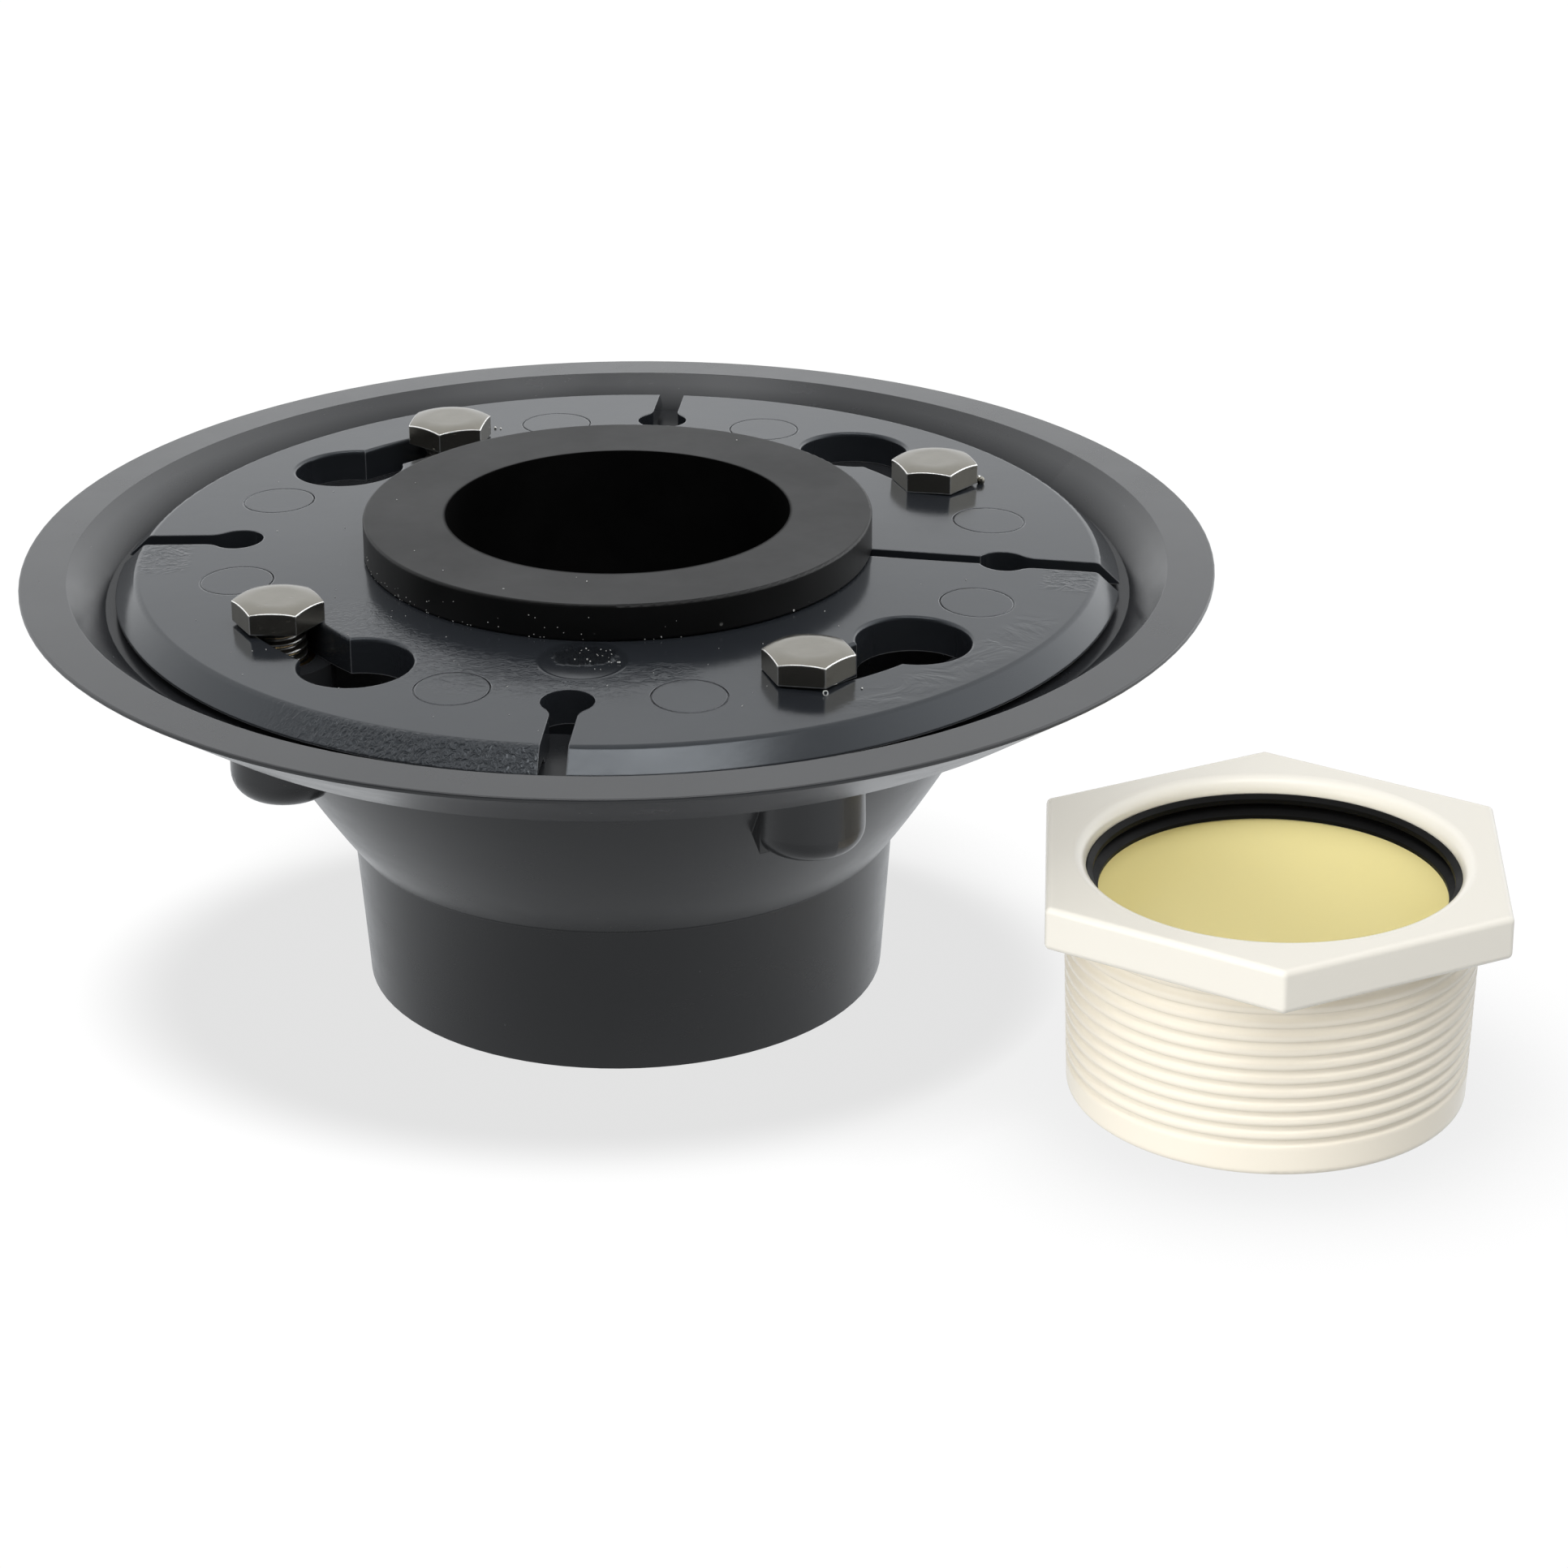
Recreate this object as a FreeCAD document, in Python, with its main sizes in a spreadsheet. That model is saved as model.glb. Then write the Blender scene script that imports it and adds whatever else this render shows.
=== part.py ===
"""Shower-drain base with a clamping collar, its bolts and rubber ring, and a threaded adapter.

Frame: millimetres, +Z up. The origin is on the drain's axis at the bottom face of the hub,
which is also the plane that the loose adapter stands on.
"""
import FreeCAD, Part
import math
import os
import Sketcher
from FreeCAD import Placement, Rotation, Vector

# Driving dimensions: alias, value in millimetres or degrees, meaning.
DIMENSIONS = [
    # drain base
    ("hub_bottom_radius", 39.0, "hub outside, at its bottom face"),
    ("hub_top_radius", 40.7, "hub outside, under the crease"),
    ("hub_height", 22.8, "drafted length of the hub"),
    ("crease_radius", 41.2, "where the bell meets the hub"),
    ("crease_height", 23.3, "height of the crease"),
    ("bell_radius", 59.8, "bell outside, at the flat underside"),
    ("bell_curve", 152.0, "radius of the bell's gentle outward curve"),
    ("bell_wall", 4.0, "bell thickness"),
    ("underside_height", 56.2, "flat underside of the bowl"),
    ("dish_radius", 75.2, "outer edge of the flat underside"),
    ("rim_radius", 87.9, "rim outside"),
    ("rim_height", 65.2, "rim top at its outer edge"),
    ("rim_edge", 0.6, "thickness of the rim at its edge"),
    ("rim_round", 0.3, "rounding of the rim's top edge"),
    ("lip_radius", 81.0, "inner edge of the rim's top"),
    ("lip_height", 65.5, "rim top at its inner edge"),
    ("floor_radius", 75.5, "outer edge of the bowl floor"),
    ("floor_height", 60.9, "bowl floor"),
    ("throat_radius", 56.8, "edge where the floor drops into the bell"),
    ("throat_drop", 3.4, "straight drop below the floor's inner edge"),
    ("socket_radius", 30.25, "pipe socket, for a 60.3 mm pipe"),
    ("socket_depth", 22.0, "depth of the pipe socket"),
    ("waterway_radius", 26.0, "waterway above the pipe stop"),
    ("waterway_height", 25.0, "lowest point of the bowl inside"),
    ("core_inner_radius", 33.6, "coring groove in the hub, inner wall"),
    ("core_outer_radius", 36.1, "coring groove in the hub, outer wall"),
    ("core_depth", 18.0, "depth of the coring groove"),
    ("core_count", 8, "pockets of the coring groove, with ribs between them"),
    ("core_rib_angle", 4.0, "angle taken by one rib"),
    # bolt bosses and inserts
    ("bolt_count", 4, "bolts round the collar"),
    ("bolt_circle", 55.1, "radius of the bolt circle"),
    ("bolt_clocking", 30.3, "angle of the first bolt from +X"),
    ("boss_radius", 8.0, "boss outside"),
    ("boss_bottom", 39.7, "height of the boss's closed end"),
    ("boss_round", 3.8, "rounding of the boss's closed end"),
    ("web_reach", 4.0, "flat web from each boss in to the bell"),
    ("web_bottom", 40.3, "lowest point of the web"),
    ("web_top", 47.0, "height at which the web is inside the bell"),
    ("insert_radius", 5.0, "threaded insert outside"),
    ("insert_length", 12.7, "threaded insert length"),
    ("insert_setback", 0.2, "insert below the bowl floor"),
    ("insert_bore_radius", 4.03, "insert bore, clear of the bolt's thread crests"),
    ("insert_groove_depth", 0.6, "depth of the insert's two grip grooves"),
    ("insert_groove_width", 1.6, "width of each grip groove"),
    ("pilot_radius", 4.2, "clearance hole below the insert"),
    ("pilot_bottom", 45.6, "height of the clearance hole's end"),
    # clamping collar
    ("collar_bottom", 60.95, "underside of the collar's plate"),
    ("relief_radius", 66.5, "where the plate's underside lifts off the bowl floor"),
    ("relief_height", 62.1, "underside of the plate outside that"),
    ("relief_step", 1.0, "width of the slope between the two"),
    ("collar_radius", 74.0, "collar outside"),
    ("collar_land", 0.3, "height of the collar's vertical edge"),
    ("collar_edge_round", 0.15, "rounding of the collar's outer edge"),
    ("shoulder_radius", 70.85, "outer edge of the collar's top"),
    ("shoulder_height", 65.4, "collar top at the shoulder"),
    ("shoulder_round", 1.2, "rounding of the shoulder"),
    ("collar_seat_radius", 37.9, "where the sloping top meets the ring's flat seat"),
    ("collar_seat_height", 66.75, "flat seat of the rubber ring"),
    ("collar_hub_bottom", 43.0, "lower end of the collar's hub"),
    ("collar_hub_radius", 33.0, "collar hub outside, lower end"),
    ("collar_hub_root", 34.2, "collar hub outside, under the plate"),
    ("throat_minor_radius", 28.75, "minor radius of the throat's pipe thread"),
    ("throat_major_radius", 29.95, "major radius of the throat's pipe thread"),
    ("keyhole_width", 9.0, "width of the keyhole's narrow end"),
    ("keyhole_turn", 20.0, "angle from the bolt to the keyhole's eye"),
    ("keyhole_round", 0.5, "rounding of the keyhole's top edge"),
    ("eye_circle", 55.5, "radius of the circle through the eyes"),
    ("eye_radius", 8.15, "radius of the keyhole's eye"),
    ("slit_turn", -35.6, "angle from a bolt to a weep slit"),
    ("slit_width", 3.9, "width of a weep slit"),
    ("slit_hole_circle", 57.0, "radius of the circle through the weep holes"),
    ("slit_hole_radius", 3.8, "radius of a weep hole"),
    ("slit_blend", 3.3, "rounding where the slit meets its hole"),
    ("pin_circle", 56.4, "radius of the circle through the ejector-pin marks"),
    ("pin_turn", 17.0, "angle from a slit to a pin mark"),
    ("pin_radius", 5.2, "radius of a pin mark"),
    ("pin_line", 0.25, "width of the line round a pin mark"),
    ("pin_height", 65.6, "bottom of that line"),
    ("pin_reach", 1.0, "cut above that, clear of the collar's top"),
    ("vent_width", 3.0, "width of the vent groove"),
    ("vent_depth", 2.0, "depth of the vent groove"),
    ("vent_outer", 54.5, "outer end of the vent groove"),
    # rubber ring
    ("ring_radius", 37.5, "rubber flange outside"),
    ("ring_bore", 25.4, "rubber ring bore radius"),
    ("ring_bottom", 66.78, "underside of the rubber flange"),
    ("ring_top", 72.3, "top of the rubber flange"),
    ("ring_round", 0.4, "rounding of the flange's outer edges"),
    ("skirt_radius", 28.6, "rubber skirt outside"),
    ("skirt_bottom", 46.0, "lower end of the rubber skirt"),
    # clamp bolts
    ("head_bottom", 66.35, "underside of the bolt head"),
    ("head_corner_radius", 6.65, "centre to corner of the bolt head"),
    ("head_height", 3.6, "height of the bolt head"),
    ("head_flat_radius", 3.5, "radius of the flat on the bolt head"),
    ("head_dome_radius", 7.7, "outer end of the head's domed edge, outside its corners"),
    ("head_dome_drop", 1.246, "fall of the domed edge to there"),
    ("head_dome_curve", 7.7, "curve of the domed edge"),
    ("bolt_major_radius", 3.97, "bolt thread crest"),
    ("bolt_minor_radius", 3.17, "bolt thread root"),
    ("bolt_length", 19.05, "bolt length under the head"),
    ("bolt_pitch", 1.411, "bolt thread pitch, 18 to the inch"),
    ("bolt_point", 0.8, "bevel at the bolt's tip"),
    # threaded adapter
    ("adapter_x", 93.9, "adapter axis, to the right of the drain axis"),
    ("adapter_y", -43.6, "adapter axis, in front of the drain axis"),
    ("adapter_turn", -3.3, "turn of the adapter's hexagon"),
    ("adapter_height", 36.0, "adapter height"),
    ("hexagon_radius", 37.4, "centre to corner of the adapter's hexagon"),
    ("hexagon_height", 6.6, "thickness of the hexagon"),
    ("hexagon_round", 0.9, "rounding of the hexagon's edges"),
    ("barrel_top_radius", 29.75, "thread crest under the hexagon"),
    ("barrel_bottom_radius", 28.85, "thread crest at the bottom"),
    ("barrel_lead", 2.4, "plain lead below the thread"),
    ("barrel_round", 0.8, "rounding of the barrel's bottom edge"),
    ("pipe_pitch", 2.209, "pipe thread pitch, 11.5 to the inch"),
    ("pipe_depth", 0.5, "depth of the adapter's thread"),
    ("thread_over", 0.4, "how far a pipe thread's cut starts clear of its crest"),
    ("cut_over", 1.0, "how far an open-ended cut runs past the edge it opens"),
    ("adapter_bore", 26.0, "bore below the seal"),
    ("adapter_mouth", 26.7, "radius of the mouth"),
    ("mouth_round", 2.0, "rounding of the mouth's edge"),
    ("seal_radius", 28.2, "seal outside and its groove"),
    ("seal_bottom", 29.8, "lower face of the seal groove"),
    ("seal_top", 33.6, "upper face of the seal groove"),
    ("seal_root", 26.5, "inside of the seal between its lips"),
    ("seal_upper_lip", 25.7, "radius of the upper lip"),
    ("seal_lower_lip", 24.9, "radius of the lower lip"),
]

# Places round the bolt circle, counter-clockwise from the first boss, and each head's own turn.
BOLT_PLACES = [
    ("back_right", -10.4),
    ("back_left", 19.6),
    ("front_left", -2.2),
    ("front_right", -10.1),
]


class Size:
    """A number together with the spreadsheet expression that gives it."""

    def __init__(self, value, text=None):
        self.value = value
        self.text = str(value) if text is None else text

    def __add__(self, other):
        other = as_size(other)
        return Size(self.value + other.value, f"({self.text} + {other.text})")

    def __sub__(self, other):
        other = as_size(other)
        return Size(self.value - other.value, f"({self.text} - {other.text})")

    def __mul__(self, other):
        other = as_size(other)
        return Size(self.value * other.value, f"({self.text} * {other.text})")

    def __truediv__(self, other):
        other = as_size(other)
        return Size(self.value / other.value, f"({self.text} / {other.text})")

    def __neg__(self):
        return Size(-self.value, f"(0 - {self.text})")


ZERO = Size(0)


def as_size(number):
    """Give a plain number or a Size back as a Size."""
    return number if isinstance(number, Size) else Size(number)


def polar(radius, angle):
    """Give the x and y of a point at a radius and an angle in degrees."""
    radians = math.radians(angle.value)
    across = Size(math.cos(radians), f"cos({angle.text} * 1 deg)")
    along = Size(math.sin(radians), f"sin({angle.text} * 1 deg)")
    return radius * across, radius * along


def make_sheet(doc):
    """Write the driving dimensions to the spreadsheet and give them back by alias."""
    sheet = doc.addObject("Spreadsheet::Sheet", "Dims")
    sizes = {}
    for row, (alias, value, meaning) in enumerate(DIMENSIONS, start=1):
        sheet.set(f"A{row}", meaning)
        sheet.set(f"B{row}", str(value))
        sheet.setAlias(f"B{row}", alias)
        sizes[alias] = Size(value, f"Dims.{alias}")
    doc.recompute()
    return sizes


def bind(thing, prop, size):
    """Tie a property to the spreadsheet."""
    thing.setExpression(prop, size.text)


def origin_part(body, role):
    """Find an axis or plane of a body's own origin."""
    return next(part for part in body.Origin.OriginFeatures if part.Role == role)


def new_sketch(body, role, label, height=None, turn=None):
    """Add a sketch on one of the body's origin planes, moved along and turned about its normal."""
    sketch = body.newObject("Sketcher::SketchObject", f"{body.Label}_{label}_sketch")
    sketch.AttachmentSupport = [(origin_part(body, role), "")]
    sketch.MapMode = "FlatFace"
    if turn is not None:
        sketch.AttachmentOffset = Placement(Vector(), Rotation(Vector(0, 0, 1), turn.value))
        bind(sketch, "AttachmentOffset.Rotation.Angle", turn)
    if height is not None:
        bind(sketch, "AttachmentOffset.Base.z", height)
    return sketch


def arc_between(start, end, radius):
    """Make the shorter arc between two points, to the left of travel if radius is positive."""
    chord = end - start
    rise = math.sqrt(max(radius ** 2 - (chord.Length / 2) ** 2, 0))
    normal = Vector(-chord.y, chord.x, 0).normalize()
    centre = (start + end) / 2 + normal * math.copysign(rise, radius)
    first, last = (start, end) if radius > 0 else (end, start)
    first_angle = math.atan2(first.y - centre.y, first.x - centre.x)
    last_angle = math.atan2(last.y - centre.y, last.x - centre.x)
    circle = Part.Circle(centre, Vector(0, 0, 1), abs(radius))
    return Part.ArcOfCircle(circle, first_angle, last_angle)


def pin_point(sketch, edge, end, x, y):
    """Fix one end of an edge, or the centre of a circle, at a place in the sketch."""
    for kind, axis, size in (("DistanceX", -2, x), ("DistanceY", -1, y)):
        if size.value == 0:
            sketch.addConstraint(Sketcher.Constraint("PointOnObject", edge, end, axis))
        else:
            rule = Sketcher.Constraint(kind, -1, 1, edge, end, size.value)
            bind(sketch, f"Constraints[{sketch.addConstraint(rule)}]", size)


def fix_radius(sketch, edge, radius):
    """Give an arc or circle its radius."""
    rule = Sketcher.Constraint("Radius", edge, abs(radius.value))
    size = radius if radius.value > 0 else -radius
    bind(sketch, f"Constraints[{sketch.addConstraint(rule)}]", size)


def draw_outline(sketch, corners):
    """Draw a closed outline through its corners.

    A corner is (x, y). A third entry makes the stretch that arrives there an arc: a radius,
    positive where the arc turns left, or "round" for a half circle tangent to the stretch before.
    """
    ends = []
    for index, corner in enumerate(corners):
        previous = corners[index - 1]
        start = Vector(previous[0].value, previous[1].value, 0)
        end = Vector(corner[0].value, corner[1].value, 0)
        if len(corner) == 2:
            edge = sketch.addGeometry(Part.LineSegment(start, end), False)
            ends.append((edge, 1, 2))
            continue
        radius = (end - start).Length / 2 if corner[2] == "round" else corner[2].value
        edge = sketch.addGeometry(arc_between(start, end, radius), False)
        ends.append((edge, 1, 2) if radius > 0 else (edge, 2, 1))
    for index, corner in enumerate(corners):
        edge, first, last = ends[index]
        before, _, before_last = ends[index - 1]
        rounded = len(corner) == 3 and corner[2] == "round"
        join = "Tangent" if rounded else "Coincident"
        sketch.addConstraint(Sketcher.Constraint(join, before, before_last, edge, first))
        pin_point(sketch, edge, last, corner[0], corner[1])
        if len(corner) == 3 and not rounded:
            fix_radius(sketch, edge, corner[2])


def draw_circle(sketch, x, y, radius):
    """Draw a circle at a place."""
    centre = Vector(x.value, y.value, 0)
    edge = sketch.addGeometry(Part.Circle(centre, Vector(0, 0, 1), radius.value), False)
    pin_point(sketch, edge, 3, x, y)
    fix_radius(sketch, edge, radius)


def draw_hexagon(sketch, radius):
    """Draw a hexagon with a corner on the sketch's x axis."""
    draw_outline(sketch, [polar_corner(radius, 60 * step) for step in range(6)])


def polar_corner(radius, degrees):
    """Give a corner at a fixed angle, with exact zeros on the sketch's axes."""
    x, y = polar(radius, Size(degrees))
    if degrees % 180 == 0:
        y = ZERO
    return x, y


def turned(body, kind, label, corners):
    """Revolve an outline in the XZ plane about the Z axis: a Revolution adds, a Groove cuts."""
    sketch = new_sketch(body, "XZ_Plane", label)
    draw_outline(sketch, corners)
    feature = body.newObject(f"PartDesign::{kind}", f"{body.Label}_{label}")
    feature.Profile = sketch
    feature.ReferenceAxis = (sketch, ["V_Axis"])
    feature.Angle = 360
    return feature


def straight(body, kind, label, sketch, length, upward):
    """Pad or pocket a sketch over a length, upward or downward."""
    feature = body.newObject(f"PartDesign::{kind}", f"{body.Label}_{label}")
    feature.Profile = sketch
    bind(feature, "Length", length)
    goes_up = kind == "Pad"
    feature.Reversed = upward != goes_up
    return feature


def repeated(body, label, originals, count):
    """Repeat features evenly round the body's Z axis."""
    pattern = body.newObject("PartDesign::PolarPattern", f"{body.Label}_{label}")
    pattern.Originals = originals
    pattern.Axis = (origin_part(body, "Z_Axis"), [""])
    pattern.Angle = 360
    bind(pattern, "Occurrences", count)
    body.Tip = pattern
    return pattern


def screw_thread(body, label, corners, pitch, height, taper=0.0):
    """Cut a helical groove upward about the body's Z axis."""
    sketch = new_sketch(body, "XZ_Plane", label)
    draw_outline(sketch, corners)
    helix = body.newObject("PartDesign::SubtractiveHelix", f"{body.Label}_{label}")
    helix.Profile = sketch
    helix.ReferenceAxis = (sketch, ["V_Axis"])
    helix.Mode = "pitch-height-angle"
    bind(helix, "Pitch", pitch)
    bind(helix, "Height", height)
    helix.Angle = taper
    return helix


def groove_outline(crest, root, base, pitch, crest_share=0.44, root_share=0.09):
    """Give the outline of a thread groove that starts at a height and narrows to its root."""
    middle = base + pitch / 2
    return [
        (root, middle - pitch * root_share),
        (crest, middle - pitch * crest_share),
        (crest, middle + pitch * crest_share),
        (root, middle + pitch * root_share),
    ]


def rounded_edges(body, label, base, edges, radius):
    """Fillet edges of a feature."""
    fillet = body.newObject("PartDesign::Fillet", f"{body.Label}_{label}")
    fillet.Base = (base, edges)
    bind(fillet, "Radius", radius)
    body.Tip = fillet
    return fillet


def new_body(doc, label):
    """Add a body named after its piece."""
    return doc.addObject("PartDesign::Body", label)


def turn_body(body, angle):
    """Turn a whole body about the drain's axis."""
    body.Placement = Placement(Vector(), Rotation(Vector(0, 0, 1), angle.value))
    bind(body, "Placement.Rotation.Angle", angle)


def move_body(body, x, y, turn):
    """Stand a body on a vertical axis elsewhere, turned about that axis."""
    turn_body(body, turn)
    bind(body, "Placement.Base.x", x)
    bind(body, "Placement.Base.y", y)


def make_drain_base(doc, dim):
    """Bowl with a rim, curved bell and drafted hub, four bolt bosses and a pipe socket."""
    body = new_body(doc, "drain_base")
    inner_crease = dim["crease_radius"] - dim["bell_wall"] * 0.85
    inner_crease_height = dim["crease_height"] + dim["bell_wall"] * 0.6
    turned(body, "Revolution", "wall", [
        (dim["socket_radius"], ZERO),
        (dim["hub_bottom_radius"], ZERO),
        (dim["hub_top_radius"], dim["hub_height"]),
        (dim["crease_radius"], dim["crease_height"]),
        (dim["bell_radius"], dim["underside_height"], dim["bell_curve"]),
        (dim["dish_radius"], dim["underside_height"]),
        (dim["rim_radius"], dim["rim_height"] - dim["rim_edge"]),
        (dim["rim_radius"], dim["rim_height"] - dim["rim_round"]),
        (dim["rim_radius"] - dim["rim_round"], dim["rim_height"], dim["rim_round"]),
        (dim["lip_radius"], dim["lip_height"]),
        (dim["floor_radius"], dim["floor_height"]),
        (dim["throat_radius"], dim["floor_height"]),
        (dim["throat_radius"], dim["floor_height"] - dim["throat_drop"]),
        (inner_crease, inner_crease_height, -(dim["bell_curve"] - dim["bell_wall"])),
        (dim["waterway_radius"], dim["waterway_height"]),
        (dim["waterway_radius"], dim["socket_depth"]),
        (dim["socket_radius"], dim["socket_depth"]),
    ])
    boss = [turned_boss(body, dim), boss_web(body, dim)]
    repeated(body, "bosses", boss, dim["bolt_count"])
    repeated(body, "boss_holes", boss_holes(body, dim), dim["bolt_count"])
    core = straight(body, "Pocket", "core", core_sketch(body, dim), dim["core_depth"], upward=True)
    repeated(body, "cores", [core], dim["core_count"])
    turn_body(body, dim["bolt_clocking"])
    return body


def turned_boss(body, dim):
    """Add one bolt boss, closed and rounded below, on its own vertical axis."""
    sketch = new_sketch(body, "XZ_Plane", "boss")
    centre = dim["bolt_circle"]
    outside = centre + dim["boss_radius"]
    draw_outline(sketch, [
        (centre, dim["boss_bottom"]),
        (outside - dim["boss_round"], dim["boss_bottom"]),
        (outside, dim["boss_bottom"] + dim["boss_round"], dim["boss_round"]),
        (outside, dim["floor_height"]),
        (centre, dim["floor_height"]),
    ])
    low = Vector(centre.value, 0, 0)
    high = Vector(centre.value, dim["floor_height"].value, 0)
    axis = sketch.addGeometry(Part.LineSegment(low, high), True)
    pin_point(sketch, axis, 1, centre, ZERO)
    pin_point(sketch, axis, 2, centre, dim["floor_height"])
    boss = body.newObject("PartDesign::Revolution", f"{body.Label}_boss")
    boss.Profile = sketch
    boss.ReferenceAxis = (sketch, ["Axis0"])
    boss.Angle = 360
    return boss


def boss_web(body, dim):
    """Add the flat web that ties one side of a boss to the bell."""
    sketch = new_sketch(body, "XZ_Plane", "web", height=dim["boss_radius"])
    outer = dim["bolt_circle"]
    inner = outer - dim["web_reach"]
    draw_outline(sketch, [
        (outer, dim["web_bottom"]),
        (outer, dim["web_top"]),
        (inner, dim["web_top"]),
        (inner, dim["web_bottom"] + dim["web_reach"]),
    ])
    web = body.newObject("PartDesign::Pad", f"{body.Label}_web")
    web.Profile = sketch
    bind(web, "Length", dim["boss_radius"] / 2)
    web.Reversed = True
    return web


def boss_holes(body, dim):
    """Cut one boss's insert seat and the clearance hole below it."""
    seat_depth = dim["insert_setback"] + dim["insert_length"]
    pilot_depth = dim["floor_height"] - dim["pilot_bottom"]
    holes = []
    for label, radius, depth in (
        ("insert_seat", dim["insert_radius"], seat_depth),
        ("pilot", dim["pilot_radius"], pilot_depth),
    ):
        sketch = new_sketch(body, "XY_Plane", label, height=dim["floor_height"])
        draw_circle(sketch, dim["bolt_circle"], ZERO, radius)
        holes.append(straight(body, "Pocket", label, sketch, depth, upward=False))
    return holes


def core_sketch(body, dim):
    """Outline one pocket of the coring groove, between two ribs."""
    sketch = new_sketch(body, "XY_Plane", "core")
    start = dim["core_rib_angle"] / 2
    end = Size(360) / dim["core_count"] - start
    inner = dim["core_inner_radius"]
    outer = dim["core_outer_radius"]
    draw_outline(sketch, [
        polar(inner, start),
        polar(outer, start),
        (*polar(outer, end), outer),
        polar(inner, end),
    ])
    return sketch


def make_insert(doc, dim, place, angle):
    """Threaded insert moulded into a boss, with two grip grooves."""
    body = new_body(doc, f"bolt_insert_{place}")
    top = dim["floor_height"] - dim["insert_setback"]
    bottom = top - dim["insert_length"]
    outside = dim["insert_radius"]
    neck = outside - dim["insert_groove_depth"]
    corners = [(dim["insert_bore_radius"], bottom), (outside, bottom)]
    for share in (1, 2):
        middle = bottom + dim["insert_length"] * share / 3
        low = middle - dim["insert_groove_width"] / 2
        high = middle + dim["insert_groove_width"] / 2
        corners += [(outside, low), (neck, low), (neck, high), (outside, high)]
    corners += [(outside, top), (dim["insert_bore_radius"], top)]
    turned(body, "Revolution", "sleeve", corners)
    x, y = polar(dim["bolt_circle"], angle)
    move_body(body, x, y, angle)
    return body


def make_collar(doc, dim):
    """Clamping collar: a coned plate with keyholes and weep slits, on a threaded hub."""
    body = new_body(doc, "clamping_collar")
    land_top = dim["relief_height"] + dim["collar_land"]
    plate = turned(body, "Revolution", "plate", [
        (dim["throat_minor_radius"], dim["collar_hub_bottom"]),
        (dim["collar_hub_radius"], dim["collar_hub_bottom"]),
        (dim["collar_hub_root"], dim["collar_bottom"]),
        (dim["relief_radius"], dim["collar_bottom"]),
        (dim["relief_radius"] + dim["relief_step"], dim["relief_height"]),
        (dim["collar_radius"], dim["relief_height"]),
        (dim["collar_radius"], land_top),
        (dim["shoulder_radius"], dim["shoulder_height"]),
        (dim["collar_seat_radius"], dim["collar_seat_height"]),
        (dim["throat_minor_radius"], dim["collar_seat_height"]),
    ])
    doc.recompute()
    shoulder = ring_edges(plate, dim["shoulder_radius"], dim["shoulder_height"])
    soft = rounded_edges(body, "shoulder", plate, shoulder, dim["shoulder_round"])
    doc.recompute()
    outer_edge = ring_edges(soft, dim["collar_radius"], land_top)
    rounded_edges(body, "outer_edge", soft, outer_edge, dim["collar_edge_round"])
    openings = keyhole_cuts(body, dim) + slit_cuts(body, dim)
    cut = repeated(body, "openings", openings, dim["bolt_count"])
    doc.recompute()
    blended = rounded_edges(body, "slit_blends", cut, slit_blend_edges(cut, dim), dim["slit_blend"])
    doc.recompute()
    rounded_edges(body, "keyhole_edges", blended, keyhole_edges(blended, dim), dim["keyhole_round"])
    marks = straight(body, "Pocket", "pin_marks", pin_sketch(body, dim), dim["pin_reach"], upward=True)
    repeated(body, "all_pin_marks", [marks], dim["bolt_count"])
    straight(body, "Pocket", "vent", vent_sketch(body, dim), dim["vent_depth"], upward=False)
    pitch = dim["pipe_pitch"]
    base = dim["collar_hub_bottom"] - pitch
    crest = dim["throat_minor_radius"] - dim["thread_over"]
    groove = groove_outline(crest, dim["throat_major_radius"], base, pitch)
    height = dim["collar_bottom"] - dim["collar_hub_bottom"]
    screw_thread(body, "throat_thread", groove, pitch, height)
    turn_body(body, dim["bolt_clocking"])
    return body


def keyhole_cuts(body, dim):
    """Cut one keyhole: a narrow curved slot over the bolt and a wide eye beside it."""
    top = dim["ring_top"]
    depth = top - dim["floor_height"]
    half = dim["keyhole_width"] / 2
    inner = dim["bolt_circle"] - half
    outer = dim["bolt_circle"] + half
    slot = new_sketch(body, "XY_Plane", "keyhole_slot", height=top)
    draw_outline(slot, [
        (inner, ZERO, -inner),
        (outer, ZERO, "round"),
        (*polar(outer, dim["keyhole_turn"]), outer),
        polar(inner, dim["keyhole_turn"]),
    ])
    eye = new_sketch(body, "XY_Plane", "keyhole_eye", height=top)
    x, y = polar(dim["eye_circle"], dim["keyhole_turn"])
    draw_circle(eye, x, y, dim["eye_radius"])
    return [
        straight(body, "Pocket", "keyhole_slot", slot, depth, upward=False),
        straight(body, "Pocket", "keyhole_eye", eye, depth, upward=False),
    ]


def slit_cuts(body, dim):
    """Cut one weep slit, open at the collar's edge, and its round hole."""
    top = dim["ring_top"]
    depth = top - dim["floor_height"]
    half = dim["slit_width"] / 2
    outside = dim["collar_radius"] + dim["cut_over"]
    slit = new_sketch(body, "XY_Plane", "slit", height=top, turn=dim["slit_turn"])
    draw_outline(slit, [
        (dim["slit_hole_circle"], -half),
        (outside, -half),
        (outside, half),
        (dim["slit_hole_circle"], half),
    ])
    hole = new_sketch(body, "XY_Plane", "slit_hole", height=top, turn=dim["slit_turn"])
    draw_circle(hole, dim["slit_hole_circle"], ZERO, dim["slit_hole_radius"])
    return [
        straight(body, "Pocket", "slit", slit, depth, upward=False),
        straight(body, "Pocket", "slit_hole", hole, depth, upward=False),
    ]


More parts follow.
